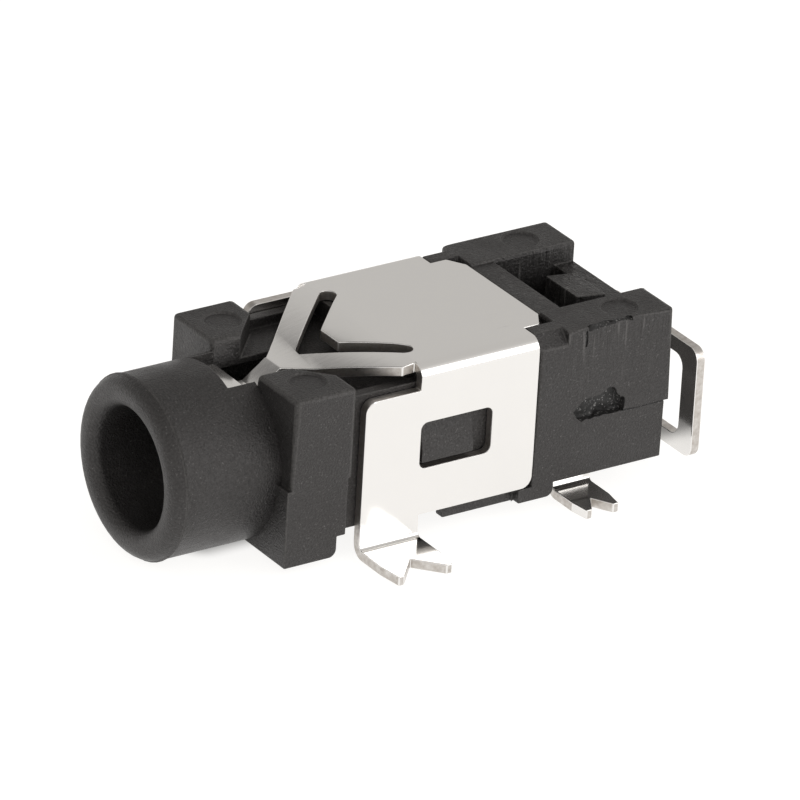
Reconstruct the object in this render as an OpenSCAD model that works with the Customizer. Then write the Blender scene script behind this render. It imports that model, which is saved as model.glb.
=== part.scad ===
// Surface-mount audio jack socket: a moulded housing with a round nose, a folded sheet-metal
// saddle that carries the sleeve spring, and two stamped contacts for the plug's ring and tip.
// X runs along the plug with the mouth at -X, Z is up, and the board lies at Z = 0.

/* [Plug] */
// Diameter of the plug that the socket takes
plug_d = 3.5; // [3.2:0.05:3.8]
// Play of the plug in its bore, across the diameter
plug_play = 0.1; // [0.04:0.02:0.2]
// Length of the plug inside the socket
plug_reach = 14; // [13.4:0.1:14.4]
// Room beside the plug in the chamber behind the nose
chamber_play = 0.2; // [0.16:0.02:0.3]
// Room between the plug's end and the end of the chamber
end_play = 0.2; // [0.1:0.05:0.4]
// Distance from the mouth to the point that the ring spring touches
ring_depth = 8.3; // [8:0.1:8.8]
// Distance from the mouth to the point that the tip spring touches
tip_depth = 12.2; // [12:0.05:12.5]
// How far the relaxed side springs reach into the plug's space
side_bite = 0.35; // [0.1:0.05:0.5]
// How far the relaxed sleeve spring reaches into the plug's space
sleeve_bite = 0.3; // [0.2:0.05:0.4]

/* [Nose] */
// Length of the nose in front of the ears
nose_len = 3.5; // [3.2:0.1:3.8]
// Wall of the nose around the bore
nose_wall = 0.9; // [0.75:0.05:1.05]
// Rounding of the nose's front edge
nose_round = 0.45; // [0.2:0.05:0.5]
// Rounding of the bore's mouth
mouth_round = 0.38; // [0.1:0.02:0.4]
// Height of the nose's underside above the board
nose_lift = 0.02; // [0:0.01:0.1]
// Length of the contact slot in the nose
nose_slot_len = 0.88; // [0.8:0.02:1.1]
// Width of the contact slot in the nose
nose_slot_w = 2.16; // [1.9:0.02:2.2]

/* [Ears] */
// Length of the two ears behind the nose
ear_len = 2.03; // [1.9:0.05:2.3]
// Opening between the ears
ear_gap = 2.34; // [2.2:0.05:2.6]
// Length of the slanting cut at each ear's inner rear corner
ear_cut_len = 1.1; // [0.9:0.05:1.15]
// Width of the slanting cut at each ear's inner rear corner
ear_cut_w = 1.2; // [1:0.05:1.25]
// Height of the ears' top above the nose
ear_rise = 0.04; // [0:0.01:0.12]
// Height of the ears' underside above the board
ear_lift = 0.27; // [0.1:0.01:0.5]
// Length of the ears' toe below the body
toe_len = 1.6; // [1.2:0.05:1.8]
// Rounding of the toe's and the heel's lower rear corner
toe_round = 0.25; // [0.1:0.05:0.35]

/* [Body] */
// Room beside the plug for the side springs
spring_room = 0.8; // [0.7:0.05:1.1]
// Side wall outside the springs
side_wall = 0.35; // [0.3:0.05:0.6]
// Roof over the plug channel, under the saddle
roof = 0.78; // [0.7:0.02:1]
// Roof over the plug channel, under the sleeve spring
deck = 0.2; // [0.12:0.02:0.26]
// Rise of the rails beside the deck
rail_rise = 0.32; // [0.1:0.02:0.36]
// Height of the body's underside above the board
body_lift = 0.9; // [0.8:0.05:1]
// Shift of the lower mould half towards the nose
mould_shift = 0.15; // [0:0.01:0.2]
// Depth of the parting line below the plug's axis
parting_drop = 0.04; // [0:0.02:0.2]
// Length of the ribs under the saddle
rib_len = 2.4; // [1.6:0.1:2.8]
// Drop of the ribs below the body
rib_drop = 0.44; // [0.1:0.02:0.5]
// Length of the heels
heel_len = 1.2; // [0.8:0.05:1.4]
// Height of the heels' underside above the board
heel_lift = 0.48; // [0.3:0.02:0.6]
// Length of the heels in front of the rear block
heel_lead = 0.45; // [0.3:0.05:0.6]

/* [Rear block] */
// Length of the rear block
rear_len = 4.6; // [4.4:0.05:5]
// Height of the rear block above the saddle
rear_rise = 0.01; // [0:0.01:0.1]
// Length of the ledge that the saddle's tail lies on
ledge_len = 0.95; // [0.9:0.05:1.1]
// Length of the plateau behind the ledge
plateau_len = 0.8; // [0.6:0.05:0.95]
// Drop of the plateau below the side walls
plateau_drop = 0.08; // [0.02:0.01:0.15]
// Size of the chamfer beside the saddle's tail
shoulder = 0.43; // [0.2:0.01:0.6]
// Width of the pocket
pocket_w = 3.54; // [3.2:0.05:3.8]
// Depth of the pocket
pocket_depth = 1.6; // [1.4:0.05:1.8]
// Thickness of the rear rim
rim_t = 0.67; // [0.5:0.05:0.8]
// Drop of the rear rim below the side walls
rim_drop = 0.68; // [0.5:0.02:0.8]
// Width of the stop in the pocket
stop_w = 1.6; // [1.2:0.05:2]
// Length of the stop in the pocket
stop_len = 1; // [0.8:0.05:1.05]
// Drop of the stop's front edge below the side walls
stop_drop = 0.38; // [0.3:0.02:0.5]
// Fall of the stop's top towards the rim
stop_fall = 0.12; // [0:0.02:0.2]
// Diameter of the ejector marks
ejector_d = 1.1; // [0.8:0.05:1.2]
// Depth of the ejector marks
ejector_depth = 0.06; // [0.03:0.01:0.12]

/* [Saddle] */
// Thickness of all sheet metal
sheet_t = 0.3; // [0.25:0.01:0.34]
// Clearance where metal seats on the housing
fit = 0.02; // [0.01:0.005:0.04]
// Length of the saddle's side flaps
flap_len = 5.86; // [5.7:0.05:6.2]
// Gap between the ears and the flaps
flap_gap = 0.33; // [0.2:0.01:0.45]
// Height of the flaps' lower edge above the body's underside
flap_hem = 0.04; // [0:0.01:0.2]
// Outer radius of the fold between top and flap
fold_r = 0.42; // [0.4:0.01:0.6]
// Length of the flap in front of the fold
apron_len = 1.84; // [1.6:0.02:1.9]
// Drop of that stretch below the saddle's top, on the near side
near_apron_drop = 0.73; // [0.6:0.01:0.9]
// Drop of that stretch below the saddle's top, on the far side
far_apron_drop = 0.36; // [0.35:0.01:0.9]
// Rounding of the flap's corners
flap_round = 0.35; // [0.15:0.05:0.45]
// Length of the saddle's tail behind the flaps
tail_len = 0.88; // [0.7:0.02:0.9]
// Length of the tail's straight sides
tail_straight = 0.53; // [0.4:0.01:0.6]
// Width of the tail's rear edge
tail_w = 3.66; // [3:0.05:4]
// Width of the tail at its root
tail_root_w = 4.8; // [4.5:0.05:5]
// Length of the window in a flap
window_len = 2.42; // [2:0.05:2.6]
// Height of the window in a flap
window_h = 1.44; // [1:0.02:1.6]
// Distance from the flap's front edge to the window
window_lead = 1.92; // [1.8:0.05:2.2]
// Drop of the window's lower edge below the plug's axis
window_drop = 0.32; // [0.2:0.02:0.5]
// Rounding of the window's corners
window_round = 0.22; // [0.1:0.02:0.3]
// Length of the snap wedge that stands in the window
wedge_len = 1.75; // [1.4:0.05:1.9]
// Height of the snap wedge
wedge_h = 1.3; // [1.2:0.02:1.32]
// Rise of the snap wedge above the body's side
wedge_rise = 0.25; // [0.15:0.01:0.29]
// Clearance between the snap wedge and the window
wedge_gap = 0.06; // [0.03:0.01:0.1]

/* [Sleeve spring] */
// Distance from the fold's front to the start of the slope
slope_lead = 0.15; // [0.1:0.05:0.4]
// Fall of the sloping arms, rise over run
slope = 0.22; // [0.18:0.01:0.25]
// Bow of the sloping arms above a straight slope
arm_bow = 0.06; // [0.02:0.01:0.08]
// Distance from the fold's front to the arms' outer corner
arm_lead = 0.4; // [0.2:0.05:0.6]
// Width of the slot that forms the V
vee_slot = 0.5; // [0.35:0.05:0.6]
// Distance of the V's apex behind the ears' front
vee_apex = 2.36; // [2.3:0.02:2.6]
// Distance of the slot's round ends behind the ears' front
vee_end = 4.42; // [4.3:0.02:4.6]
// Distance between the slot's two round ends
vee_spread = 3.96; // [3.6:0.02:4.3]
// Distance of the centre tab's tip behind the ears' front
tab_tip = 3.2; // [3:0.05:3.5]
// Width of the tongue between the ears
tongue_w = 0.8; // [0.7:0.05:1]
// Distance from the contact point back to the tongue's knee
knee_run = 0.9; // [0.8:0.05:1]
// Drop of the tongue between the ears' rear and its knee
knee_drop = 0.1; // [0.06:0.01:0.14]
// Width of the curled lip in front of the contact point
lip_w = 1.8; // [1.4:0.05:1.85]
// Length of the curled lip in front of the contact point
lip_len = 1.2; // [1.05:0.05:1.25]
// Rise of the curled lip above the contact point
lip_rise = 0.43; // [0.38:0.01:0.5]
// Rise of the lip's own end
lip_curl = 0.1; // [0:0.02:0.16]
// Distance of the contact point behind the ears' front
sleeve_x = 0.45; // [0.4:0.05:0.6]

/* [Solder feet] */
// Inner radius of the feet's bend
foot_bend_r = 0.16; // [0.1:0.02:0.25]
// Width of the saddle's feet
saddle_foot_w = 2; // [1.6:0.05:2.2]
// Reach of the saddle's feet beyond the flaps
saddle_foot_reach = 1.93; // [1.5:0.05:2.2]
// Depth of the notch in the saddle's feet
saddle_notch = 0.8; // [0.5:0.05:1]
// Width of the contacts' feet
contact_foot_w = 1.3; // [1:0.05:1.4]
// Reach of the ring contact's foot beyond its plate
ring_foot_reach = 1.64; // [1.5:0.05:1.9]
// Reach of the tip contact's foot beyond its loop
tip_foot_reach = 0.85; // [0.8:0.05:1.1]
// Depth of the notch in the contacts' feet
contact_notch = 0.62; // [0.3:0.02:0.64]
// Width of each prong at its end
prong_w = 0.18; // [0.12:0.02:0.25]
// Narrowing of a foot towards its end, on each side
prong_taper = 0.1; // [0.04:0.02:0.16]

/* [Side contacts] */
// Width of the spring arms
arm_w = 1.05; // [0.8:0.05:1.2]
// Length of the flat that touches the plug
touch_len = 0.3; // [0.2:0.05:0.4]
// Length of the springs' lead-in, in front of that flat
lead_in = 0.45; // [0.3:0.05:0.6]
// Flare of the springs' lead-in
lead_flare = 0.36; // [0.2:0.02:0.4]
// Clearance around the springs
spring_gap = 0.08; // [0.05:0.01:0.12]
// Distance from the rear block's front to the ring contact's plate
ring_plate_lead = 0.35; // [0.2:0.05:0.5]
// Length of the ring contact's plate
ring_plate_len = 2.15; // [2:0.05:2.3]
// Height of the ring contact's plate above the plug's axis
ring_plate_rise = 1.2; // [0.9:0.05:1.3]
// Distance from the tip's contact point back to its plate
tip_plate_lead = 1.2; // [1:0.05:1.4]
// Height of the tip contact's plate
tip_plate_h = 1.8; // [1.5:0.05:1.95]
// Gap between the rear block and the loop
loop_gap = 0.78; // [0.5:0.02:1]
// Width of the loop on the near side of the plug's axis
loop_reach = 3.48; // [3:0.02:3.6]
// Height of the loop's lower edge above the board
loop_lift = 0.64; // [0.6:0.02:0.9]
// Height of the loop
loop_h = 3.47; // [3:0.05:3.6]
// Width of the loop's upright bar
loop_bar_w = 0.7; // [0.5:0.05:0.9]
// Width of the loop's level bars
loop_rail_w = 0.47; // [0.35:0.02:0.6]
// Rounding of the loop's corners
loop_round = 0.38; // [0.2:0.02:0.45]
// Distance of the tip contact's foot from the plug's axis, towards the far side
tip_foot_y = 0.65; // [0.5:0.05:0.9]

/* [Hidden] */
$fn = 64;
bow_steps = 8;
// Overshoot of cuts through a face
over = 1;

// Heights
bore_r = (plug_d + plug_play) / 2;
nose_r = bore_r + nose_wall;
axis_z = nose_lift + nose_r;
parting_z = axis_z - parting_drop;
ear_top = axis_z + nose_r + ear_rise;
body_top = axis_z + bore_r + roof;
deck_top = axis_z + bore_r + deck;
saddle_top = body_top + fit + sheet_t;
rear_top = saddle_top + rear_rise;
pocket_z = rear_top - pocket_depth;
flap_z = body_lift + flap_hem;
window_z = axis_z - window_drop;

// Half widths
chamber_y = bore_r + chamber_play;
channel_y = bore_r + spring_room;
body_y = channel_y + side_wall;
flap_y = body_y + fit + sheet_t;
block_y = flap_y;
plate_y = channel_y - fit - sheet_t / 2;
bite_y = plug_d / 2 - side_bite + sheet_t / 2;

// Places along the plug, measured from the ears' front
flap_x = ear_len + flap_gap;
flap_end = flap_x + flap_len;
fold_x = flap_x + apron_len;
slope_x = fold_x + slope_lead;
window_x = flap_x + window_lead;
rear_x = flap_end + fit;
rear_end = rear_x + rear_len;
ledge_end = rear_x + ledge_len;
pocket_x = ledge_end + plateau_len;
pocket_end = rear_end - rim_t;
channel_end = plug_reach - nose_len + end_play;
ring_x = ring_depth - nose_len;
tip_x = tip_depth - nose_len;
tip_plate_x = tip_x + tip_plate_lead;
ring_plate_x = rear_x + ring_plate_lead;
ring_foot_x = ring_plate_x + ring_plate_len - contact_foot_w / 2;
loop_x = rear_end + loop_gap;
loop_end = loop_x + sheet_t;

// Middle of the whole part along the plug
mid_x = (loop_end + tip_foot_reach - nose_len) / 2;

// Extrudes a YZ profile along X
module along_x(from, to)
    translate([from, 0, 0])
        rotate([90, 0, 90])
            linear_extrude(to - from)
                children();

// Extrudes an XZ profile along Y
module along_y(from, to)
    translate([0, to, 0])
        rotate([90, 0, 0])
            linear_extrude(to - from)
                children();

// A block between two places along X and two heights, as wide on both sides
module block(from, to, half_w, low, high)
    translate([from, -half_w, low])
        cube([to - from, 2 * half_w, high - low]);

// A cylinder on the plug's axis
module round_bar(from, to, r)
    translate([from, 0, axis_z])
        rotate([0, 90, 0])
            cylinder(r = r, h = to - from);

module both_sides() {
    children();
    mirror([0, 1, 0]) children();
}

// A rectangle with its four corners rounded
module rounded_plate(w, h, r) {
    translate([r, 0]) square([w - 2 * r, h]);
    translate([0, r]) square([w, h - 2 * r]);
    for (x = [r, w - r], y = [r, h - r])
        translate([x, y]) circle(r);
}

// A rectangle with one rounded corner, at its upper right
module one_round(w, h, r) {
    square([w - r, h]);
    square([w, h - r]);
    translate([w - r, h - r]) circle(r);
}

// Direction of a path's stretch, from its start to the next point
function heading(path, i) = (path[i + 1] - path[i]) / norm(path[i + 1] - path[i]);

// One face of a bent strip, half a thickness beside its path and mitred at each bend
function strip_face(path, side) = [
    for (i = [0 : len(path) - 1])
        let (ahead = heading(path, min(i, len(path) - 2)))
        let (mean = (ahead + heading(path, max(i, 1) - 1)) / 2)
        path[i] + side * sheet_t / 2 / (mean * mean) * [-mean.y, mean.x]
];

// A bent strip of sheet seen on its edge, along a path through its middle
module strip(path) {
    upper = strip_face(path, 1);
    lower = strip_face(path, -1);
    polygon(concat(upper, [for (i = [1 : len(path)]) lower[len(path) - i]]));
}

// Quarter bend from a sheet hanging down at y < 0 to one lying at z < sheet_t
module bend_profile(reach, leg) {
    corner = foot_bend_r + sheet_t;
    translate([-sheet_t, corner]) square([sheet_t, leg - corner]);
    translate([foot_bend_r, 0]) square([reach - foot_bend_r, sheet_t]);
    intersection() {
        translate([foot_bend_r, corner])
            difference() {
                circle(corner);
                circle(foot_bend_r);
            }
        translate([-sheet_t, 0]) square(corner);
    }
}

// Plan of a forked foot, running towards +Y from the sheet's outer face
module fork_plan(w, reach, notch) {
    end_y = w / 2 - prong_taper;
    polygon([
        [-w / 2, -sheet_t],
        [w / 2, -sheet_t],
        [w / 2, reach - notch],
        [end_y, reach],
        [end_y - prong_w, reach],
        [0, reach - notch],
        [prong_w - end_y, reach],
        [-end_y, reach],
        [-w / 2, reach - notch],
    ]);
}

// A forked solder foot below a sheet whose outer face is at y = 0
module solder_foot(w, reach, notch, leg)
    intersection() {
        along_x(-w / 2, w / 2) bend_profile(reach, leg);
        linear_extrude(leg) fork_plan(w, reach, notch);
    }

// Nose with its rounded front edge, as a turned solid
module nose_shell()
    translate([-nose_len, 0, axis_z])
        rotate([0, 90, 0])
            rotate_extrude()
                nose_section();

// Half section of the nose: bore wall at the left, rounded outer and inner front edges
module nose_section() {
    lip_r = bore_r + mouth_round;
    translate([bore_r, mouth_round]) square([nose_wall, nose_len - mouth_round]);
    translate([lip_r, 0]) square([nose_r - nose_round - lip_r, nose_len]);
    translate([bore_r, nose_round]) square([nose_wall, nose_len - nose_round]);
    intersection() {
        translate([bore_r, 0]) square([nose_wall, nose_len]);
        union() {
            translate([lip_r, mouth_round]) circle(mouth_round);
            translate([nose_r - nose_round, nose_round]) circle(nose_round);
        }
    }
}

// Bore of the nose, and the wider chamber behind it up to the plug's end
module plug_channel() {
    round_bar(-over, fit, bore_r);
    along_x(0, channel_end) chamber_section();
}

// Section of the chamber, round below the plug and square above its axis
module chamber_section() {
    translate([-chamber_y, axis_z]) square([2 * chamber_y, bore_r]);
    intersection() {
        translate([0, axis_z]) circle(chamber_y);
        translate([-chamber_y, axis_z - chamber_y]) square([2 * chamber_y, chamber_y + fit]);
    }
}

// Side outline of the ears' lower half with the toe under the body
module toe_profile() {
    translate([-mould_shift, body_lift])
        square([ear_len, parting_z - body_lift]);
    translate([-mould_shift, parting_z])
        mirror([0, 1])
            one_round(toe_len + mould_shift, parting_z - ear_lift, toe_round);
}

// Half-round belly that closes the plug channel below
module belly()
    intersection() {
        round_bar(0, channel_end + nose_wall, nose_r);
        block(0, rear_end, nose_r + over, -over, axis_z);
    }

// Section of the body under the saddle, rounded where the saddle folds over it
module body_section()
    difference() {
        saddle_outline(body_y, body_top, fold_r - sheet_t - fit);
        translate([-block_y, -over]) square([2 * block_y, body_lift + over]);
    }

// Rails on the body's side walls, beside the deck under the sleeve spring
module side_rails()
    both_sides()
        translate([ear_len - mould_shift, channel_y, deck_top - side_wall])
            cube([vee_end - ear_len + 2 * mould_shift, side_wall, side_wall + rail_rise]);

// The two ears, the upper half shorter at the front than the lower one
module ears() {
    block(0, ear_len, block_y, parting_z, ear_top);
    along_y(-block_y, block_y) toe_profile();
}

// Ribs under the flaps and heels under the rear block's front edge
module underside() {
    heel_x = rear_x - heel_lead;
    heel_in = channel_y - side_wall;
    heel_top = body_lift + side_wall;
    both_sides() {
        along_y(channel_y, body_y)
            translate([heel_x - rib_len, body_lift - rib_drop])
                square([rib_len + fit, rib_drop + side_wall]);
        difference() {
            along_y(heel_in, block_y)
                translate([heel_x, heel_top])
                    mirror([0, 1])
                        one_round(heel_len, heel_top - heel_lift, toe_round);
            flap_space();
        }
    }
}

// Space that the far flap takes beside the body
module flap_space()
    translate([flap_x, body_y, flap_z - fit])
        cube([rear_x - flap_x, block_y - body_y + over, saddle_top]);

// Wedges on the body's sides that snap into the flaps' windows
module snap_wedges() {
    corner_room = wedge_gap + window_round * (1 - cos(45));
    wedge_x = window_x + corner_room;
    wedge_z = window_z + corner_room;
    both_sides()
        along_x(wedge_x, wedge_x + wedge_len)
            polygon([
                [body_y - side_wall / 2, wedge_z],
                [body_y + wedge_rise, wedge_z],
                [body_y + wedge_rise, wedge_z + wedge_h / 4],
                [body_y, wedge_z + wedge_h],
                [body_y - side_wall / 2, wedge_z + wedge_h],
            ]);
}

// Rear block with its ledge, chamfered shoulders and open pocket
module rear_block() {
    difference() {
        union() {
            block(rear_x, rear_end, block_y, parting_z, rear_top);
            block(rear_x, rear_end - mould_shift, block_y, body_lift, parting_z);
        }
        block(rear_x - over, ledge_end, tail_root_w / 2 + 2 * fit, body_top, rear_top + over);
        block(ledge_end, pocket_x + fit, pocket_w / 2, rear_top - plateau_drop, rear_top + over);
        block(pocket_x, pocket_end, pocket_w / 2, pocket_z, rear_top + over);
        block(pocket_end - fit, rear_end + over, pocket_w / 2, rear_top - rim_drop, rear_top + over);
        both_sides()
            along_x(rear_x - over, ledge_end)
                polygon([
                    [block_y + over, rear_top - shoulder - over],
                    [block_y + over, rear_top + over],
                    [block_y - shoulder - over, rear_top + over],
                ]);
    }
    along_y(-stop_w / 2, stop_w / 2)
        polygon([
            [pocket_end - stop_len, pocket_z - fit],
            [pocket_end + fit, pocket_z - fit],
            [pocket_end + fit, rear_top - stop_drop - stop_fall],
            [pocket_end - stop_len, rear_top - stop_drop],
        ]);
}

// Round marks that the ejector pins left on the top faces
module ejector_marks() {
    ear_mark = [ear_len / 2, (block_y + ear_gap / 2) / 2, ear_top];
    rear_mark = [(pocket_x + rear_end) / 2, (block_y + pocket_w / 2) / 2, rear_top];
    both_sides()
        for (mark = [ear_mark, rear_mark])
            translate(mark - [0, 0, ejector_depth])
                cylinder(d = ejector_d, h = ejector_depth + over);
}

// Spaces for the ring spring, open below, and for the tip spring, open behind
module spring_spaces() {
    arm_top = axis_z + arm_w / 2 + spring_gap;
    inner_y = bite_y - sheet_t / 2 - spring_gap;
    arm_front = touch_len / 2 + lead_in + sheet_t + spring_gap;
    ring_front = ring_x - arm_front;
    tip_front = tip_x - arm_front;
    plate_end = ring_plate_x + ring_plate_len + fit;
    tip_h = tip_plate_h + 2 * fit;
    translate([ring_front, -channel_y, -over])
        cube([ring_plate_x - ring_front, channel_y - inner_y, arm_top + over]);
    translate([ring_plate_x - fit, -channel_y, -over])
        cube([plate_end - ring_plate_x + fit, sheet_t + 2 * fit, axis_z + ring_plate_rise + fit + over]);
    translate([tip_front, inner_y, axis_z - tip_h / 2])
        cube([rear_end + over - tip_front, channel_y - inner_y, tip_h]);
}

// Slanting cuts in the ears, above the deck, that clear the sleeve spring's arms
module ear_cuts() {
    inner_y = ear_gap / 2 - fit;
    rear = ear_len + fit;
    both_sides()
        translate([0, 0, deck_top])
            linear_extrude(ear_top - deck_top + over)
                polygon([[rear - ear_cut_len, inner_y], [rear, inner_y], [rear, inner_y + ear_cut_w]]);
}

// Opening above the bore for the sleeve spring's tongue
module tongue_opening() {
    block(-nose_slot_len, over, nose_slot_w / 2, axis_z, ear_top + over);
    block(0, ear_len, ear_gap / 2, axis_z, ear_top + over);
}

// The nose ends where the ears start, and is moulded in one with them
module nose_solid()
    difference() {
        nose_shell();
        ears();
        tongue_opening();
    }

module housing_solid()
    difference() {
        union() {
            belly();
            ears();
            block(ear_len - mould_shift, rear_x + fit, body_y, body_lift, deck_top);
            along_x(vee_end, rear_x + fit) body_section();
            side_rails();
            rear_block();
            snap_wedges();
            underside();
        }
        plug_channel();
        tongue_opening();
        ear_cuts();
        spring_spaces();
        ejector_marks();
    }

// Cross-section of the saddle: top, two folds and two flaps
module saddle_section() {
    inner_r = fold_r - sheet_t;
    difference() {
        saddle_outline(flap_y, saddle_top, fold_r);
        saddle_outline(flap_y - sheet_t, saddle_top - sheet_t, inner_r);
    }
}

module saddle_outline(half_w, top, r) {
    translate([-half_w, 0]) square([2 * half_w, top - r]);
    translate([r - half_w, 0]) square([2 * (half_w - r), top]);
    for (side = [-1, 1])
        translate([side * (half_w - r), top - r]) circle(r);
}

// Side view of a flap, with the lower stretch in front of the fold
module flap_view(apron_drop) {
    apron_h = saddle_top - apron_drop - flap_z;
    difference() {
        union() {
            translate([fold_x, flap_z]) square([flap_end - fold_x, saddle_top - flap_z]);
            translate([fold_x + fit, flap_z])
                mirror([1, 0])
                    one_round(apron_len + fit, apron_h, flap_round);
        }
        translate([flap_end, flap_z]) corner_cut(flap_round);
        translate([window_x, window_z]) rounded_plate(window_len, window_h, window_round);
    }
}

// What rounding takes off a lower right corner
module corner_cut(r)
    difference() {
        translate([-r, -over]) square([r + over, r + over]);
        translate([-r, r]) circle(r);
    }

// Plan of the saddle's top behind the slope, with its tail
module top_plan() {
    flat_y = flap_y - fold_r;
    translate([slope_x, -flat_y]) square([flap_end - slope_x, 2 * flat_y]);
    polygon([
        [flap_end - fit, -tail_root_w / 2],
        [flap_end + tail_straight, -tail_root_w / 2],
        [flap_end + tail_len, -tail_w / 2],
        [flap_end + tail_len, tail_w / 2],
        [flap_end + tail_straight, tail_root_w / 2],
        [flap_end - fit, tail_root_w / 2],
    ]);
}

// Plan of the sloping arms and the tongue between the ears
module arms_plan() {
    flat_y = flap_y - fold_r;
    root_y = ear_gap / 2 - spring_gap;
    edge_x = fold_x - arm_lead;
    lean = (edge_x - ear_len) / (flat_y - root_y);
    tongue_x = ear_len - (root_y - tongue_w / 2) * lean;
    translate([sleeve_x - sheet_t, -tongue_w / 2]) square([tongue_x - sleeve_x + 2 * sheet_t, tongue_w]);
    translate([sleeve_x - lip_len, -lip_w / 2]) square([lip_len - sheet_t, lip_w]);
    polygon([
        [tongue_x, -tongue_w / 2],
        [edge_x, -flat_y],
        [slope_x + sheet_t, -flat_y],
        [slope_x + sheet_t, flat_y],
        [edge_x, flat_y],
        [tongue_x, tongue_w / 2],
    ]);
}

// V-shaped slot with round ends that frees the two arms from the centre tab
module vee_cut() {
    run = [vee_end - vee_apex, vee_spread / 2];
    lean = atan2(run.y, run.x);
    across = vee_slot / 2 * [-sin(lean), cos(lean)];
    end = [vee_end, vee_spread / 2];
    tab_y = (tab_tip - vee_apex + across.x) * tan(lean) - across.y;
    half = [end + across, end - across, [tab_tip, tab_y]];
    polygon(concat(
        [[vee_apex - vee_slot / 2 / sin(lean), 0]],
        half,
        [for (i = [1 : len(half)]) [half[len(half) - i].x, -half[len(half) - i].y]]
    ));
    for (side = [-1, 1])
        translate([end.x, side * end.y]) circle(d = vee_slot);
}

// Side view of the sloping arms, the dip that touches the plug and the curled lip
module spring_view() {
    mid_z = saddle_top - sheet_t / 2;
    run = slope_x - ear_len;
    root_z = mid_z - slope * run;
    dip_z = axis_z + plug_d / 2 - sleeve_bite + sheet_t / 2;
    lip_z = dip_z + lip_rise;
    strip(concat(
        [[slope_x + sheet_t, mid_z]],
        [for (i = [0 : bow_steps]) let (t = i / bow_steps)
            [slope_x - run * t, mid_z - slope * run * t + 4 * arm_bow * t * (1 - t)]],
        [
            [sleeve_x + knee_run, root_z - knee_drop],
            [sleeve_x + touch_len / 2, dip_z],
            [sleeve_x - touch_len / 2, dip_z],
            [sleeve_x - touch_len / 2 - lead_in, lip_z],
            [sleeve_x - lip_len, lip_z + lip_curl],
        ]
    ));
}

module saddle_solid() {
    difference() {
        union() {
            intersection() {
                along_x(flap_x, flap_end) saddle_section();
                union() {
                    along_y(-flap_y - over, 0) flap_view(near_apron_drop);
                    along_y(0, flap_y + over) flap_view(far_apron_drop);
                }
            }
            translate([0, 0, saddle_top - sheet_t]) linear_extrude(sheet_t) top_plan();
            intersection() {
                along_y(-flap_y, flap_y) spring_view();
                linear_extrude(saddle_top + over) arms_plan();
            }
        }
        difference() {
            block(flap_x, slope_x, flap_y - fold_r, body_lift, saddle_top + over);
            along_y(-flap_y, flap_y) spring_view();
        }
        translate([0, 0, axis_z]) linear_extrude(saddle_top) vee_cut();
    }
    both_sides()
        translate([flap_x + saddle_foot_w / 2, flap_y, 0])
            solder_foot(saddle_foot_w, saddle_foot_reach, saddle_notch, flap_z + sheet_t);
}

// Spring arm of a side contact: plate end, sloping stretch, contact point and lead-in
module spring_arm(plate_end, contact_x)
    translate([0, 0, axis_z - arm_w / 2])
        linear_extrude(arm_w)
            strip([
                [plate_end + 2 * sheet_t, plate_y],
                [plate_end, plate_y],
                [contact_x + touch_len / 2, bite_y],
                [contact_x - touch_len / 2, bite_y],
                [contact_x - touch_len / 2 - lead_in, bite_y + lead_flare],
            ]);

// Ring contact in the near side's space, with its foot below the rear block
module ring_solid() {
    leg = body_lift + sheet_t;
    mirror([0, 1, 0]) {
        spring_arm(ring_plate_x, ring_x);
        translate([ring_plate_x, plate_y - sheet_t / 2, leg - fit])
            cube([ring_plate_len, sheet_t, axis_z + ring_plate_rise - leg + fit]);
        translate([ring_foot_x, plate_y + sheet_t / 2, 0])
            solder_foot(contact_foot_w, ring_foot_reach, contact_notch, leg);
    }
}

// Upright loop behind the rear block, seen along the plug
module loop_view() {
    root_y = plate_y - sheet_t / 2 - foot_bend_r;
    hole_end = tip_foot_y - contact_foot_w / 2;
    hole_w = loop_reach - loop_bar_w + hole_end;
    difference() {
        union() {
            translate([-loop_reach, loop_lift])
                rounded_plate(loop_reach + hole_end + contact_foot_w, loop_h, loop_round);
            translate([hole_end, axis_z - tip_plate_h / 2]) square([root_y - hole_end, tip_plate_h]);
        }
        translate([loop_bar_w - loop_reach, loop_lift + loop_rail_w])
            rounded_plate(hole_w, loop_h - 2 * loop_rail_w, loop_round);
    }
}

// Plan of the tip contact's plate and its bend into the loop
module tip_plan() {
    inner_y = plate_y - sheet_t / 2;
    turn = [loop_x - foot_bend_r, inner_y - foot_bend_r];
    corner = foot_bend_r + sheet_t;
    translate([tip_plate_x, inner_y]) square([turn.x - tip_plate_x, sheet_t]);
    intersection() {
        translate(turn)
            difference() {
                circle(corner);
                circle(foot_bend_r);
            }
        translate(turn) square(corner);
    }
}

// Tip contact: spring in the far side's space, plate through the rear wall, loop and foot
module tip_solid() {
    spring_arm(tip_plate_x, tip_x);
    translate([0, 0, axis_z - tip_plate_h / 2]) linear_extrude(tip_plate_h) tip_plan();
    along_x(loop_x, loop_end) loop_view();
    translate([loop_end, tip_foot_y, 0])
        rotate(-90)
            solder_foot(contact_foot_w, tip_foot_reach, contact_notch / 2, loop_lift + sheet_t);
}

module in_frame() translate([-mid_x, 0, 0]) children();

module housing() color("#232325") in_frame() housing_solid();
module nose() color("#232325") in_frame() nose_solid();
module sleeve_saddle() color("#d2d0cc") in_frame() saddle_solid();
module ring_contact() color("#c9c6bf") in_frame() ring_solid();
module tip_contact() color("#c9c6bf") in_frame() tip_solid();

housing();
nose();
sleeve_saddle();
ring_contact();
tip_contact();
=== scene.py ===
import math

import bmesh
import bpy
from mathutils import Matrix, Vector, noise
from mathutils.bvhtree import BVHTree


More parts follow.
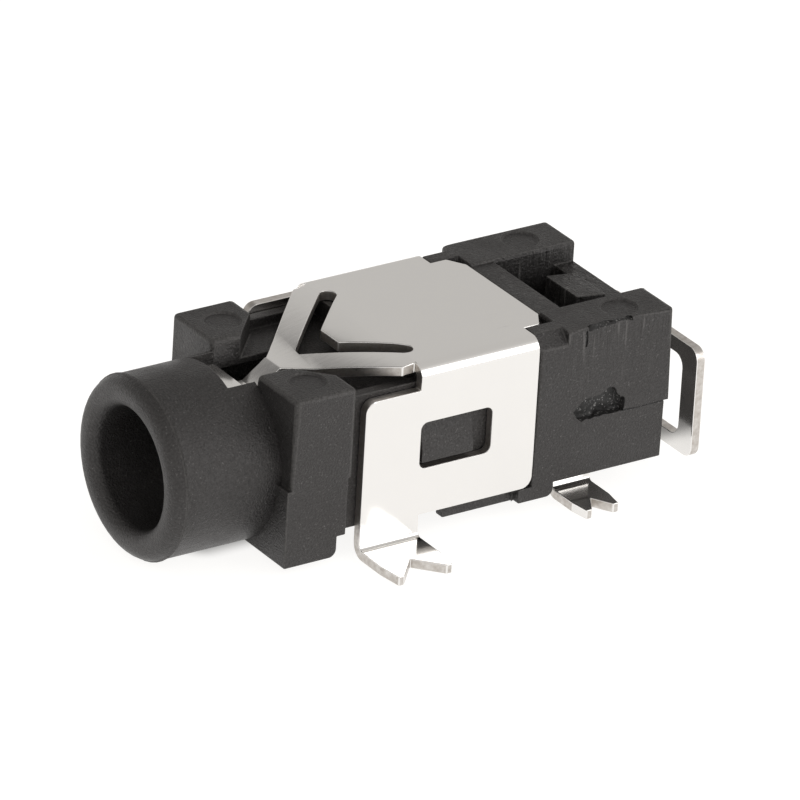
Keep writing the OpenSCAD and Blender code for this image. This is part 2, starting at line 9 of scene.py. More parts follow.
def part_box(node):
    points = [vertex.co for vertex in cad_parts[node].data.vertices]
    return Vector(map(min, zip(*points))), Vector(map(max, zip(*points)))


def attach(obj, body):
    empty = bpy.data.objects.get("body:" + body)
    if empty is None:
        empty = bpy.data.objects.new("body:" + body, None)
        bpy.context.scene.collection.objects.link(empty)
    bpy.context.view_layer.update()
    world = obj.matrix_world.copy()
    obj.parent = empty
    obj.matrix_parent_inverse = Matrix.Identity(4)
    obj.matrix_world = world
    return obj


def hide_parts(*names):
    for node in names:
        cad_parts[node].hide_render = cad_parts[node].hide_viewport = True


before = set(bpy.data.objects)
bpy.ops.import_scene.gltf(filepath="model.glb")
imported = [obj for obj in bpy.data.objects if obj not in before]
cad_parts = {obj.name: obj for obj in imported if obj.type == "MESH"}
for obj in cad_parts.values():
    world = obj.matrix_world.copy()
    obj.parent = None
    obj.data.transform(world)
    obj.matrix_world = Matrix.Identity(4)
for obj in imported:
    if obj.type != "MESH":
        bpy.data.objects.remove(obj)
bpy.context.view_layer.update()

MM = 0.001

# Camera of the photograph, in degrees, with the point that its middle shows
CAMERA_AZIMUTH = -34.88
CAMERA_ELEVATION = 26.03
CAMERA_ROLL = -3.33
CAMERA_TARGET = Vector((0.20, 0.11, 2.76)) * MM
PICTURE_WIDTH = 22.864 * MM
LENS_MM = 420
SENSOR_MM = 36
CLIP_RATIO = 20

# Planes of the housing, in millimetres of the part's frame, and how near the ears the nose's edges stay sharp
PARTING_Z = 2.68
EAR_FRONT = -5.635
EAR_REAR = -3.605
EAR_TOP = 5.46
EAR_INNER = 1.17
BLOCK_FRONT = 2.605
BLOCK_REAR = 7.205
BLOCK_TOP = 5.63
SIDE_Y = 3.27
NOSE_JOIN = 0.2

# Thickness of the sheet, and how many of them behind a face show that it is a cut one
SHEET_T = 0.3
CUT_BEHIND = 1.3

# Where the saddle's folds begin, along x and z, how far above that the flaps' front edges end, and how far
# the fold's curve has drifted from the flaps' planes there
FOLD_FRONT = -1.435
FOLD_FOOT = 5.2
FOLD_CLIP = 0.15
FOLD_DRIFT = 0.04

# Torn gate on the near rear wall: its outline along x and z, its depth, how far its tool stands out of
# the wall, and how rough and fine its ragged faces are
SCAR_OUTLINE = (
    (3.85, 2.98), (4.27, 3.36), (4.72, 3.34), (5.02, 3.5), (5.24, 3.5),
    (5.41, 3.27), (5.63, 3.15), (5.66, 2.66), (4.92, 2.7), (4.18, 2.67),
)
SCAR_DEPTH = 0.25
SCAR_LEAD = 0.15
SCAR_ROUGH = 0.07
SCAR_FINENESS = 5.0

# Chips in the top edge of the near rear wall, the nick below them, and the groove at the mould's parting
TOP_CHIP_X = 5.0
TOP_CHIP_SIZE = (1.5, 0.16, 0.16)
TOP_CHIP_ROUGH = 0.1
NICK_X = 4.18
NICK_Z = 5.28
NICK_SIZE = (0.07, 0.08, 0.5)
NICK_ROUGH = 0.03
GROOVE_X = 6.45
GROOVE_SIZE = (1.6, 0.03, 0.03)
GROOVE_ROUGH = 0.01
CHIP_FINENESS = 4.0
ON_EDGE = 45

# Seed of the noise that makes torn and chipped shapes ragged, so that each run gives the same ones
WEAR_SEED = 9

# Drag marks on the rear walls: where they begin and are full along z, along x and below the top, and how
# strong they get
DRAG_Z = (PARTING_Z + 0.9, PARTING_Z + 2.6)
DRAG_X = (BLOCK_FRONT + 0.4, BLOCK_FRONT + 1.2)
DRAG_TOP = (BLOCK_TOP - 0.03, BLOCK_TOP - 0.15)
DRAG_STRENGTH = 2.4

# Scratches on the saddle's top: where they begin and are full along x, on their two sides and along z
SCRATCH_X = (1.6, 1.9)
SCRATCH_FAR_Y = (-1.0, -1.3)
SCRATCH_NEAR_Y = (-2.3, -2.0)
SCRATCH_Z = (BLOCK_TOP - 0.1, BLOCK_TOP - 0.05)

# Roundings in millimetres, the steps of large and small ones, and the shortest outer edge that gets one
SOFT_EDGE = 0.2
EAR_EDGE = 0.14
MOULD_EDGE = 0.04
SHEET_EDGE = 0.03
LARGE_STEPS = 4
SMALL_STEPS = 2
SHORTEST = 0.6

# Angles that count as sharp and as flat, and the share of a normal that counts as square
SHARP = math.radians(28)
FLAT = math.radians(0.2)
SQUARE = 0.99

# Distances in millimetres that count as one point, as on a plane and as at the V's tip
WELD = 0.002
CLOSE = 0.01
TIP_REACH = 0.1

# Tones of the moulding, of its torn places and of the plated sheet
MOULD_DARK = (0.0085, 0.0079, 0.0076, 1)
MOULD_PALE = (0.0175, 0.0164, 0.0159, 1)
MOULD_SHINE = (1, 0.965, 0.955, 1)
DRAG_TONE = (0.06, 0.0575, 0.056, 1)
# Pale specks, partly dust and partly painted sparkle
DUST_AND_SPARKLE_TONE = (0.09, 0.087, 0.084, 1)
WORN_TONE = (0.055, 0.053, 0.051, 1)
TORN_DARK = (0.004, 0.0038, 0.0036, 1)
TORN_PALE = (0.016, 0.015, 0.0145, 1)
# Painted glints on the torn plastic
PAINTED_GLINT_TONE = (0.2, 0.195, 0.19, 1)
PLATE_DARK = (0.8, 0.785, 0.765, 1)
PLATE_PALE = (0.825, 0.81, 0.79, 1)
CUT_TONE = (0.46, 0.425, 0.39, 1)
BURR_TONE = (0.82, 0.805, 0.785, 1)
SCRATCH_TONE = (0.68, 0.66, 0.64, 1)

# Spans that hold most values of a slow and of a fine noise, and how much rougher a cut face is
NOISE_SPAN = (0.3, 0.7)
FINE_SPAN = (0.35, 0.65)
CUT_DULL = 0.3

# Studio walls: tints of the far cards, the near cards and the gap, and where each begins and is full
FAR_TINT = (0.615, 0.602, 0.585, 1)
NEAR_TINT = (0.92, 0.905, 0.89, 1)
GAP_TINT = (0.13, 0.127, 0.125, 1)
NEAR_Y = (0.1, -0.4)
NEAR_Z = (0.86, 0.66)
GAP_X = (0.46, 0.3)
GAP_Y = (0.3, 0.55)
GAP_Z = (0.595, 0.68)

# Softbox beside the socket, in millimetres and watts
SOFTBOX_PLACE = (62, -89, 52)
SOFTBOX_AIM = (0, 0, 2)
SOFTBOX_SIZE = 76
SOFTBOX_WATTS = 0.034

# Lit floor: its size, tone and glow, and a painted shadow, dimmer glow under the socket, with the width of
# its soft edge
FLOOR_R = 0.6
PAPER_TONE = (0.3, 0.3, 0.3, 1)
GLOW_TONE = (1, 0.99, 0.975, 1)
TABLE_GLOW = 0.9
SHADOW_GLOW = 0.225
SHADOW_MID = (0.5 * MM, 1.6 * MM, 0)
SHADOW_HALF = (7.2 * MM, 2.0 * MM, 1)
SHADE_RUN = 1.0 * MM


# Camera, floor and light

def photo_camera():
    """A long lens at the photograph's angle, because its view has almost no perspective."""
    turn = math.radians(CAMERA_AZIMUTH)
    lift = math.radians(CAMERA_ELEVATION)
    back = Vector((math.sin(turn) * math.cos(lift), -math.cos(turn) * math.cos(lift), math.sin(lift)))
    data = bpy.data.cameras.new("photo_camera")
    data.lens = LENS_MM
    data.sensor_width = SENSOR_MM
    data.sensor_fit = "HORIZONTAL"
    distance = PICTURE_WIDTH * LENS_MM / SENSOR_MM
    data.clip_start = distance / CLIP_RATIO
    data.clip_end = distance * CLIP_RATIO
    camera = bpy.data.objects.new("photo_camera", data)
    facing = (-back).to_track_quat("-Z", "Y").to_matrix()
    roll = Matrix.Rotation(math.radians(-CAMERA_ROLL), 3, back)
    camera.matrix_world = Matrix.Translation(CAMERA_TARGET + back * distance) @ (roll @ facing).to_4x4()
    bpy.context.scene.collection.objects.link(camera)
    bpy.context.scene.camera = camera


def softbox(name, place, target, size, watts):
    """A square area light at a place in millimetres, facing a target in millimetres."""
    data = bpy.data.lights.new(name, "AREA")
    data.shape = "SQUARE"
    data.size = size * MM
    data.energy = watts
    light = bpy.data.objects.new(name, data)
    spot = Vector(place) * MM
    aim = Vector(target) * MM - spot
    light.matrix_world = Matrix.Translation(spot) @ aim.to_track_quat("-Z", "Y").to_matrix().to_4x4()
    bpy.context.scene.collection.objects.link(light)


def studio_walls():
    """Pale cards, brighter in front, and a dim gap high up that darkens the sleeve spring's bend."""
    world = bpy.data.worlds.new("studio_walls")
    world.use_nodes = True
    tree = world.node_tree
    place = add(tree, "TexCoord")
    way = add(tree, "SeparateXYZ", Vector=place.outputs["Generated"]).outputs
    near = ramp(tree, way["Y"], *NEAR_Y)
    low = ramp(tree, way["Z"], *NEAR_Z)
    cards = mix_colour(tree, times(tree, near, low), FAR_TINT, NEAR_TINT)
    high = ramp(tree, way["Z"], *GAP_Z)
    far = ramp(tree, way["Y"], *GAP_Y)
    left = ramp(tree, way["X"], *GAP_X)
    gap = times(tree, high, times(tree, far, left))
    tree.links.new(mix_colour(tree, gap, cards, GAP_TINT), tree.nodes["Background"].inputs["Color"])
    bpy.context.scene.world = world


def light_table():
    """A white floor, lit from below to keep its shadows faint, with a painted shadow where the socket covers
    it.
    """
    bm = bmesh.new()
    bmesh.ops.create_circle(bm, cap_ends=True, segments=96, radius=FLOOR_R)
    mesh = bpy.data.meshes.new("floor")
    bm.to_mesh(mesh)
    bm.free()
    floor = bpy.data.objects.new("floor", mesh)
    bpy.context.scene.collection.objects.link(floor)
    paper, tree, face = new_material("lit_paper")
    face.inputs["Base Color"].default_value = PAPER_TONE
    face.inputs["Roughness"].default_value = 0.9
    face.inputs["Specular IOR Level"].default_value = 0
    face.inputs["Emission Color"].default_value = GLOW_TONE
    # Painted shadow: the floor's glow is dimmed in a soft-edged patch under the socket.
    place = add(tree, "TexCoord").outputs["Object"]
    across = add(tree, "VectorMath", {"operation": "SUBTRACT"}, **{"0": place, "1": SHADOW_MID})
    away = add(tree, "VectorMath", {"operation": "ABSOLUTE"}, **{"0": across.outputs["Vector"]})
    past = add(tree, "VectorMath", {"operation": "SUBTRACT"}, **{"0": away.outputs["Vector"], "1": SHADOW_HALF})
    outside = add(tree, "VectorMath", {"operation": "MAXIMUM"}, **{"0": past.outputs["Vector"]})
    gap = add(tree, "VectorMath", {"operation": "LENGTH"}, **{"0": outside.outputs["Vector"]})
    glow = add(tree, "MapRange", {"interpolation_type": "SMOOTHSTEP"}, Value=gap.outputs["Value"],
               From_Max=SHADE_RUN, To_Min=SHADOW_GLOW, To_Max=TABLE_GLOW)
    tree.links.new(glow.outputs["Result"], face.inputs["Emission Strength"])
    mesh.materials.append(paper)


def studio():
    """Walls, floor and softbox, with plain colours in the picture."""
    studio_walls()
    light_table()
    softbox("softbox_near", SOFTBOX_PLACE, SOFTBOX_AIM, SOFTBOX_SIZE, SOFTBOX_WATTS)
    bpy.context.scene.view_settings.view_transform = "Standard"


# Materials

def add(tree, kind, settings=None, **inputs):
    """A shader node with its settings, and with a constant or a link on each input that is named."""
    made = tree.nodes.new("ShaderNode" + kind)
    for key, value in (settings or {}).items():
        setattr(made, key, value)
    for key, value in inputs.items():
        socket = made.inputs[int(key) if key.isdigit() else key.replace("_", " ")]
        if isinstance(value, bpy.types.NodeSocket):
            tree.links.new(value, socket)
        else:
            socket.default_value = value
    return made


def mix_colour(tree, share, low, high):
    """The socket of a mix of two colours, each a constant or a link."""
    mix = tree.nodes.new("ShaderNodeMix")
    mix.data_type = "RGBA"
    for name, value in (("Factor_Float", share), ("A_Color", low), ("B_Color", high)):
        socket = next(s for s in mix.inputs if s.identifier == name)
        if isinstance(value, bpy.types.NodeSocket):
            tree.links.new(value, socket)
        else:
            socket.default_value = value
    return next(s for s in mix.outputs if s.identifier == "Result_Color")


def ramp(tree, value, start, end, low=0.0, high=1.0):
    """The socket of a value that goes from low at the start to high at the end."""
    made = add(tree, "MapRange", Value=value, From_Min=start, From_Max=end, To_Min=low, To_Max=high)
    return made.outputs["Result"]


def ramp_along(tree, place, span, high=1.0):
    """The socket of a value that goes from 0 to high between two places in millimetres."""
    return ramp(tree, place, span[0] * MM, span[1] * MM, high=high)


def times(tree, first, second):
    """The socket of two values' product."""
    return add(tree, "Math", {"operation": "MULTIPLY"}, **{"0": first, "1": second}).outputs["Value"]


def new_material(name):
    """A node material, with its node tree and its Principled shader."""
    material = bpy.data.materials.new(name)
    material.use_nodes = True
    tree = material.node_tree
    return material, tree, tree.nodes["Principled BSDF"]


def new_group(name, inputs, outputs):
    """An empty shader group with named float or vector sockets."""
    group = bpy.data.node_groups.new(name, "ShaderNodeTree")
    for key, kind in inputs.items():
        group.interface.new_socket(key, in_out="INPUT", socket_type="NodeSocket" + kind)
    for key, kind in outputs.items():
        group.interface.new_socket(key, in_out="OUTPUT", socket_type="NodeSocket" + kind)
    return group, group.nodes.new("NodeGroupInput"), group.nodes.new("NodeGroupOutput")


def use_group(tree, group, **inputs):
    """The outputs of a shared group in a material's tree."""
    return add(tree, "Group", {"node_tree": group}, **inputs).outputs


def grain_group():
    """Fine relief of a spark-eroded mould or of rolled sheet, slow mottling, and scattered pale specks."""
    group, given, made = new_group("surface_grain",
                                   {"Vector": "Vector", "Fineness": "Float", "Specks": "Float"},
                                   {"Height": "Float", "Mottle": "Float", "Specks": "Float"})
    scaled = add(group, "VectorMath", {"operation": "SCALE"},
                 **{"0": given.outputs["Vector"], "Scale": 1 / MM})
    in_mm = scaled.outputs["Vector"]
    fine = add(group, "TexNoise", Vector=in_mm, Scale=given.outputs["Fineness"], Detail=3.0, Roughness=0.62)
    slow = add(group, "TexNoise", Vector=in_mm, Scale=0.9, Detail=4.0, Roughness=0.6)
    dots = add(group, "TexNoise", Vector=in_mm, Scale=16.0, Detail=1.0)
    threshold = add(group, "Math", {"operation": "SUBTRACT"}, **{"0": 1.0, "1": given.outputs["Specks"]})
    over = add(group, "Math", {"operation": "SUBTRACT"},
               **{"0": dots.outputs["Fac"], "1": threshold.outputs["Value"]})
    speck = add(group, "MapRange", Value=over.outputs["Value"], From_Max=0.16)
    group.links.new(fine.outputs["Fac"], made.inputs["Height"])
    group.links.new(slow.outputs["Fac"], made.inputs["Mottle"])
    group.links.new(speck.outputs["Result"], made.inputs["Specks"])
    return group


def streak_group():
    """Long fine streaks along one axis, from a noise that is stretched along it."""
    group, given, made = new_group("fine_streaks", {"Vector": "Vector", "Stretch": "Vector"},
                                   {"Height": "Float", "Lines": "Float"})
    squeezed = add(group, "VectorMath", {"operation": "MULTIPLY"},
                   **{"0": given.outputs["Vector"], "1": given.outputs["Stretch"]})
    rows = add(group, "TexNoise", Vector=squeezed.outputs["Vector"], Scale=1 / MM, Detail=3.0,
               Roughness=0.55)
    lines = add(group, "MapRange", Value=rows.outputs["Fac"], From_Min=0.6, From_Max=0.72)
    group.links.new(rows.outputs["Fac"], made.inputs["Height"])
    group.links.new(lines.outputs["Result"], made.inputs["Lines"])
    return group


def bump(tree, face, height, depth, strength):
    """Relief of a given depth, in millimetres, on a material's face."""
    relief = add(tree, "Bump", Height=height, Distance=depth * MM, Strength=strength)
    tree.links.new(relief.outputs["Normal"], face.inputs["Normal"])


def black_moulding(grain, streaks):
    """Satin black moulding: fine grain, specks of dust and painted sparkle, worn edges, drag marks on the
    rear walls.
    """
    material, tree, face = new_material("black_moulding")
    place = add(tree, "TexCoord").outputs["Object"]
    surface = use_group(tree, grain, Vector=place, Fineness=15.0, Specks=0.35)
    drag = use_group(tree, streaks, Vector=place, Stretch=(6.0, 6.0, 0.5))
    where = add(tree, "SeparateXYZ", Vector=place).outputs
    upper = ramp_along(tree, where["Z"], DRAG_Z, high=DRAG_STRENGTH)
    rear = ramp_along(tree, where["X"], DRAG_X)
    below_top = ramp_along(tree, where["Z"], DRAG_TOP)
    dragged = times(tree, below_top, times(tree, upper, rear))
    marks = times(tree, dragged, drag["Lines"])
    edge = add(tree, "Attribute", {"attribute_name": "edge"}).outputs["Fac"]

    tone = mix_colour(tree, surface["Mottle"], MOULD_DARK, MOULD_PALE)
    tone = mix_colour(tree, marks, tone, DRAG_TONE)
    # Pale specks in the base colour: partly dust, partly painted sparkle.
    tone = mix_colour(tree, surface["Specks"], tone, DUST_AND_SPARKLE_TONE)
    tone = mix_colour(tree, times(tree, edge, surface["Height"]), tone, WORN_TONE)
    tree.links.new(tone, face.inputs["Base Color"])
    roughness = ramp(tree, surface["Mottle"], *NOISE_SPAN, low=0.34, high=0.52)
    tree.links.new(roughness, face.inputs["Roughness"])
    shine = ramp(tree, surface["Height"], *FINE_SPAN, low=0.45, high=0.69)
    tree.links.new(shine, face.inputs["Specular IOR Level"])
    face.inputs["Specular Tint"].default_value = MOULD_SHINE
    lift = add(tree, "Math", {"operation": "MULTIPLY_ADD"},
               **{"0": dragged, "1": drag["Height"], "2": surface["Height"]})
    bump(tree, face, lift.outputs["Value"], depth=0.04, strength=0.9)
    return material


def torn_moulding(grain):
    """Dull broken plastic where the moulding was torn from its gate, with painted bright glints."""
    material, tree, face = new_material("torn_moulding")
    place = add(tree, "TexCoord").outputs["Object"]
    surface = use_group(tree, grain, Vector=place, Fineness=7.0, Specks=0.4)
    tone = mix_colour(tree, surface["Height"], TORN_DARK, TORN_PALE)
    # Painted glints: bright specks mixed into the base colour.
    tone = mix_colour(tree, surface["Specks"], tone, PAINTED_GLINT_TONE)
    tree.links.new(tone, face.inputs["Base Color"])
    roughness = ramp(tree, surface["Mottle"], *NOISE_SPAN, low=0.45, high=0.7)
    tree.links.new(roughness, face.inputs["Roughness"])
    bump(tree, face, surface["Height"], depth=0.06, strength=0.8)
    return material


def bright_plating(grain, streaks):
    """Bright plating with faint rolling lines, dull on its cut faces and scratched on its rear top."""
    material, tree, face = new_material("bright_plating")
    place = add(tree, "TexCoord").outputs["Object"]
    surface = use_group(tree, grain, Vector=place, Fineness=6.0)
    rolled = use_group(tree, streaks, Vector=place, Stretch=(0.35, 5.0, 5.0))
    scraped = use_group(tree, streaks, Vector=place, Stretch=(0.9, 6.5, 0.1))
    where = add(tree, "SeparateXYZ", Vector=place).outputs
    rear = ramp_along(tree, where["X"], SCRATCH_X)
    top = ramp_along(tree, where["Z"], SCRATCH_Z)
    far_side = ramp_along(tree, where["Y"], SCRATCH_FAR_Y)
    near_side = ramp_along(tree, where["Y"], SCRATCH_NEAR_Y)
    between = times(tree, far_side, near_side)
    scratch = times(tree, times(tree, rear, top), times(tree, between, scraped["Lines"]))
    cut = add(tree, "Attribute", {"attribute_name": "cut"}).outputs["Fac"]
    burr = add(tree, "Attribute", {"attribute_name": "edge"}).outputs["Fac"]
    bare = times(tree, cut, ramp(tree, surface["Height"], *NOISE_SPAN, low=0.5))

    tone = mix_colour(tree, surface["Mottle"], PLATE_DARK, PLATE_PALE)
    tone = mix_colour(tree, bare, tone, CUT_TONE)
    tone = mix_colour(tree, burr, tone, BURR_TONE)
    tone = mix_colour(tree, scratch, tone, SCRATCH_TONE)
    tree.links.new(tone, face.inputs["Base Color"])
    face.inputs["Metallic"].default_value = 1
    sheen = ramp(tree, surface["Mottle"], *NOISE_SPAN, low=0.11, high=0.16)
    dull = add(tree, "Math", {"operation": "MULTIPLY_ADD"}, **{"0": bare, "1": CUT_DULL, "2": sheen})
    tree.links.new(dull.outputs["Value"], face.inputs["Roughness"])
    relief = add(tree, "Math", {"operation": "MULTIPLY_ADD"},
                 **{"0": bare, "1": surface["Height"], "2": rolled["Height"]})
    bump(tree, face, relief.outputs["Value"], depth=0.003, strength=0.3)
    return material


# Pieces

def finished_mesh(name, bm):
    """Shades and cuts up a shape while it is in millimetres, and brings it to metres."""
    draft = bpy.data.meshes.new(name + "_draft")
    bm.to_mesh(draft)
    bm.free()
    draft.shade_smooth()
    draft.set_sharp_from_angle(angle=SHARP)
    holder = bpy.data.objects.new(name + "_draft", draft)
    bpy.context.scene.collection.objects.link(holder)
    even = holder.modifiers.new("even_shading", "WEIGHTED_NORMAL")
    even.keep_sharp = True
    cut = holder.modifiers.new("cut_up", "TRIANGULATE")
    cut.keep_custom_normals = True
    state = bpy.context.evaluated_depsgraph_get()
    shaded = holder.evaluated_get(state)
    mesh = bpy.data.meshes.new_from_object(shaded, preserve_all_data_layers=True, depsgraph=state)
    mesh.name = name
    mesh.transform(Matrix.Scale(MM, 4))
    bpy.data.objects.remove(holder)
    bpy.data.meshes.remove(draft)
    return mesh


def keep_in_box(bm, node):
    """Moves the few points that a rounding pushed past the node's own box back onto it."""
    low, high = (Vector(corner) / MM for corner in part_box(node))
    for vert in bm.verts:
        vert.co = Vector(min(max(c, a), b) for c, a, b in zip(vert.co, low, high))


def place_piece(name, bm, materials, node):
    """Links a finished shape as a piece on the one body, in the place of its CAD node."""
    keep_in_box(bm, node)
    mesh = finished_mesh(name, bm)
    for finish in materials:
        mesh.materials.append(finish)
    piece = bpy.data.objects.new(name, mesh)
    bpy.context.scene.collection.objects.link(piece)
    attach(piece, "root")
    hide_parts(node)


def merged_copy(node):
    """A CAD node's mesh in millimetres, with its loose triangles joined and flat faces made whole."""
    bm = bmesh.new()
    bm.from_mesh(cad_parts[node].data)
    bmesh.ops.scale(bm, vec=Vector((1, 1, 1)) / MM, verts=bm.verts)
    bmesh.ops.remove_doubles(bm, verts=bm.verts, dist=WELD)
    bmesh.ops.dissolve_limit(bm, angle_limit=FLAT, verts=bm.verts, edges=bm.edges)
    return bm


def round_edges(bm, edges, width, segments):
    """Rounds edges, and marks the new faces so that the material can show wear on them."""
    mark = bm.faces.layers.float.get("edge") or bm.faces.layers.float.new("edge")
    made = bmesh.ops.bevel(bm, geom=edges, offset=width, offset_type="OFFSET", segments=segments,
                           profile=0.5, affect="EDGES", clamp_overlap=False, material=-1, loop_slide=True)
    for face in made["faces"]:
        face[mark] = 1


def mark_cut_faces(bm):
    """Marks the faces along the sheet's cut edges: behind them the metal is thicker than the sheet."""
    mark = bm.faces.layers.float.new("cut")
    tree = BVHTree.FromBMesh(bm)
    largest = {}
    for corners in bm.calc_loop_triangles():
        a, b, c = (corner.vert.co for corner in corners)
        area = (b - a).cross(c - a).length
        if area > largest.get(corners[0].face, (0, None))[0]:
            largest[corners[0].face] = (area, (a + b + c) / 3)
    for face, (area, middle) in largest.items():
        behind = tree.ray_cast(middle - face.normal * WELD, -face.normal)[3]
        face[mark] = 0 if behind and behind < CUT_BEHIND * SHEET_T else 1


def sharp_edges(bm):
    """Edges between two faces at an angle, except where the plastic is torn."""
    return [e for e in bm.edges if len(e.link_faces) == 2 and e.calc_face_angle(0) > SHARP
            and not any(face.material_index for face in e.link_faces)]


def on_plane(face, axis, place):
    """Whether a face lies square across an axis at a place."""
    return abs(face.normal[axis]) > SQUARE and abs(face.calc_center_median()[axis] - place) < CLOSE


def outer_face(face):
    """Whether a face is one of the large outer faces of the upper mould half."""
    planes = (
        (0, EAR_FRONT), (0, EAR_REAR), (0, BLOCK_FRONT), (0, BLOCK_REAR),
        (1, SIDE_Y), (1, -SIDE_Y), (2, EAR_TOP), (2, BLOCK_TOP),
    )
    return any(on_plane(face, axis, place) for axis, place in planes)


def outer_edges(bm):
    """Edges between two outer faces, and where an outer face meets a corner that is already round."""
    mark = bm.faces.layers.float.get("edge")
    found = []
    for edge in sharp_edges(bm):
        outer = sum(outer_face(face) for face in edge.link_faces)
        rounded = sum(face[mark] > 0 for face in edge.link_faces)
        if outer == 2 and edge.calc_length() > SHORTEST or outer == 1 and rounded == 1:
            found.append(edge)
    return found


def inner_ear_edges(bm):
    """The ears' top edges along the gap between them."""
    def there(vert):
        return abs(vert.co.z - EAR_TOP) < CLOSE and abs(abs(vert.co.y) - EAR_INNER) < CLOSE
    return [e for e in sharp_edges(bm) if all(there(v) for v in e.verts)]


def ragged(bm, rough, fineness):
    """Roughens a shape with a noise, after its edges are cut into short ones."""
    bmesh.ops.triangulate(bm, faces=bm.faces)
    bmesh.ops.subdivide_edges(bm, edges=bm.edges, cuts=4, use_grid_fill=True)
    for vert in bm.verts:
        vert.co += noise.noise_vector(vert.co * fineness) * rough


def scar_tool():
    """The torn gate on the near rear wall, as the shape that it leaves empty."""
    bm = bmesh.new()
    outline = [bm.verts.new((x, -SIDE_Y - SCAR_LEAD, z)) for x, z in SCAR_OUTLINE]
    face = bm.faces.new(outline)
    deep = bmesh.ops.extrude_face_region(bm, geom=[face])["geom"]
    floor = [v for v in deep if isinstance(v, bmesh.types.BMVert)]
    bmesh.ops.translate(bm, vec=(0, SCAR_LEAD + SCAR_DEPTH, 0), verts=floor)
    bmesh.ops.recalc_face_normals(bm, faces=bm.faces)
    ragged(bm, SCAR_ROUGH, SCAR_FINENESS)
    return bm


def chip_tool(place, size, turn, rough):
    """A ragged bar that breaks away a little of the wall where it passes through it."""
    bm = bmesh.new()
    bmesh.ops.create_cube(bm, size=1)
    long_edges = [e for e in bm.edges if abs(e.verts[0].co.x - e.verts[1].co.x) > 0.5]
    bmesh.ops.subdivide_edges(bm, edges=long_edges, cuts=5)
    bmesh.ops.scale(bm, vec=size, verts=bm.verts)
    lean = Matrix.Rotation(math.radians(turn), 3, "X")
    bmesh.ops.rotate(bm, cent=(0, 0, 0), matrix=lean, verts=bm.verts)
    bmesh.ops.translate(bm, vec=place, verts=bm.verts)
    ragged(bm, rough, CHIP_FINENESS)
    return bm


def holder_of(name, bm):
    """A draft object that holds a shape in millimetres for the modifiers."""
    draft = bpy.data.meshes.new(name)
    bm.to_mesh(draft)
    bm.free()
    holder = bpy.data.objects.new(name, draft)
    bpy.context.scene.collection.objects.link(holder)
    return holder


def worn_away(bm, tools):
    """Takes the tools out of a shape. The faces that they leave have the second material."""
    blank = holder_of("housing_blank", bm)
    cutters = []
    for number, tool in enumerate(tools):
        for face in tool.faces:
            face.material_index = 1
        cutter = holder_of(f"wear_{number}", tool)
        cut = blank.modifiers.new(cutter.name, "BOOLEAN")
        cut.operation = "DIFFERENCE"
        cut.solver = "EXACT"
        cut.material_mode = "INDEX"
        cut.object = cutter
        cutters.append(cutter)
    state = bpy.context.evaluated_depsgraph_get()
    mesh = bpy.data.meshes.new_from_object(blank.evaluated_get(state), depsgraph=state)
    worn = bmesh.new()
    worn.from_mesh(mesh)
    for holder in [blank] + cutters:
        draft = holder.data
        bpy.data.objects.remove(holder)
        bpy.data.meshes.remove(draft)
    bpy.data.meshes.remove(mesh)
    return worn


def housing_piece(plastic, torn):
    """The housing, torn at its gate and chipped along the near rear wall, with its edges rounded."""
    bm = worn_away(merged_copy("housing"), [
        scar_tool(),
        chip_tool((TOP_CHIP_X, -SIDE_Y, BLOCK_TOP), TOP_CHIP_SIZE, ON_EDGE, TOP_CHIP_ROUGH),
        chip_tool((NICK_X, -SIDE_Y, NICK_Z), NICK_SIZE, 0, NICK_ROUGH),
        chip_tool((GROOVE_X, -SIDE_Y, PARTING_Z), GROOVE_SIZE, ON_EDGE, GROOVE_ROUGH),
    ])
    round_edges(bm, inner_ear_edges(bm), SOFT_EDGE, LARGE_STEPS)
    round_edges(bm, outer_edges(bm), EAR_EDGE, LARGE_STEPS)
    round_edges(bm, sharp_edges(bm), MOULD_EDGE, SMALL_STEPS)
    place_piece("housing_moulding", bm, [plastic, torn], "housing")


def nose_piece(plastic):
    """The nose, with its edges rounded except at the rear, where they meet the ears."""
    bm = merged_copy("nose")
    free = [e for e in sharp_edges(bm) if min(v.co.x for v in e.verts) < EAR_FRONT - NOSE_JOIN]
    round_edges(bm, free, MOULD_EDGE, SMALL_STEPS)
    place_piece("nose_moulding", bm, [plastic], "nose")


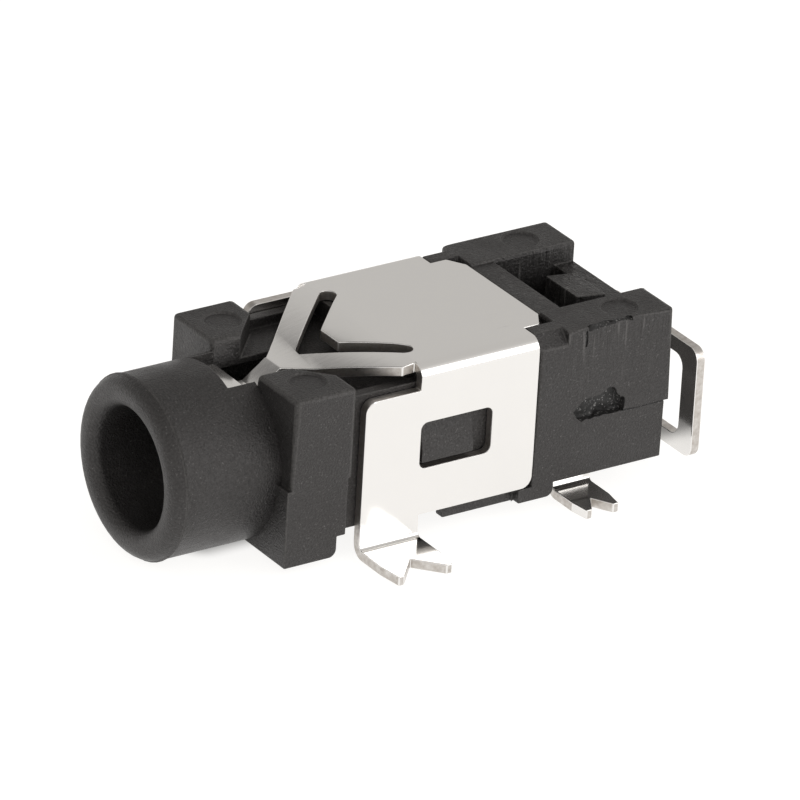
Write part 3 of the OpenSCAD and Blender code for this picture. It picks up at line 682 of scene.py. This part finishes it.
def close_vee_tip(bm):
    """Draws the V's point back onto the crease at the arms' ends, which it only just passes."""
    tip = [v for v in bm.verts if v.co.z > PARTING_Z
           and abs(v.co.x - EAR_REAR) < TIP_REACH and abs(v.co.y) < TIP_REACH]
    middle = sum(v.co.z for v in tip) / len(tip)
    for above in (True, False):
        group = [v for v in tip if (v.co.z > middle) == above]
        crease_z = max(group, key=lambda v: v.co.x).co.z
        bmesh.ops.pointmerge(bm, verts=group, merge_co=(EAR_REAR, 0, crease_z))


def flatten_flap_tops(bm):
    """Sets the flaps' front top edges, which stand a hair into the fold's curve, back into their planes."""
    whole = bm.verts[:] + bm.edges[:] + bm.faces[:]
    bmesh.ops.bisect_plane(bm, geom=whole, dist=WELD, plane_co=(FOLD_FRONT, 0, 0), plane_no=(1, 0, 0))
    for vert in bm.verts:
        if vert.co.x < FOLD_FRONT + WELD and FOLD_FOOT < vert.co.z < FOLD_FOOT + FOLD_CLIP:
            for plane in (SIDE_Y, SIDE_Y - SHEET_T):
                if abs(abs(vert.co.y) - plane) < FOLD_DRIFT:
                    vert.co.y = math.copysign(plane, vert.co.y)
    bm.normal_update()
    bmesh.ops.dissolve_limit(bm, angle_limit=FLAT, verts=bm.verts, edges=bm.edges)


def sheet_piece(name, node, plating):
    """A stamped and folded sheet, with its cut faces marked and its edges a little round."""
    bm = merged_copy(node)
    if node == "sleeve_saddle":
        close_vee_tip(bm)
        flatten_flap_tops(bm)
    mark_cut_faces(bm)
    round_edges(bm, sharp_edges(bm), SHEET_EDGE, SMALL_STEPS)
    place_piece(name, bm, [plating], node)


def build_pieces():
    """Makes the materials and the five pieces."""
    noise.seed_set(WEAR_SEED)
    grain = grain_group()
    streaks = streak_group()
    plastic = black_moulding(grain, streaks)
    plating = bright_plating(grain, streaks)
    housing_piece(plastic, torn_moulding(grain))
    nose_piece(plastic)
    sheet_piece("saddle_sheet", "sleeve_saddle", plating)
    sheet_piece("ring_strip", "ring_contact", plating)
    sheet_piece("tip_strip", "tip_contact", plating)


photo_camera()
studio()
build_pieces()
